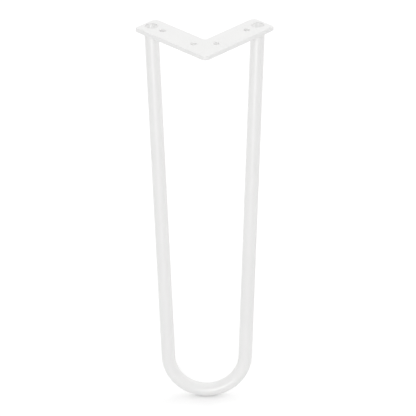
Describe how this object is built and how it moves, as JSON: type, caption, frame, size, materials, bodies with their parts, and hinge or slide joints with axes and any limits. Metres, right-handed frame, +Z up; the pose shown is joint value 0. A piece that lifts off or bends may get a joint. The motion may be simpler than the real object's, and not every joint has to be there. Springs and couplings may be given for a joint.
{
  "type": "hairpin table leg",
  "caption": "Hairpin furniture leg: a round steel bar bent into a narrow leaning U and plug-welded under a V-shaped screw-on plate, in white powder coat.",
  "frame": {"origin": "on the mounting face, where the centre lines of the plate's two arms cross", "axes": "+Z up out of the mounting face into the table top, X across the two rods, -Y towards the plate's outer corner, the way the foot leans"},
  "size_m": [0.1164, 0.0715, 0.35],
  "materials": {
    "powder_coat": "satin white powder coat with a fine texture, over mild steel"
  },
  "bodies": {
    "root": {"mounting_plate": "powder_coat", "hairpin_rod": "powder_coat", "left_plug_weld": "powder_coat", "right_plug_weld": "powder_coat"}
  },
  "joints": []
}
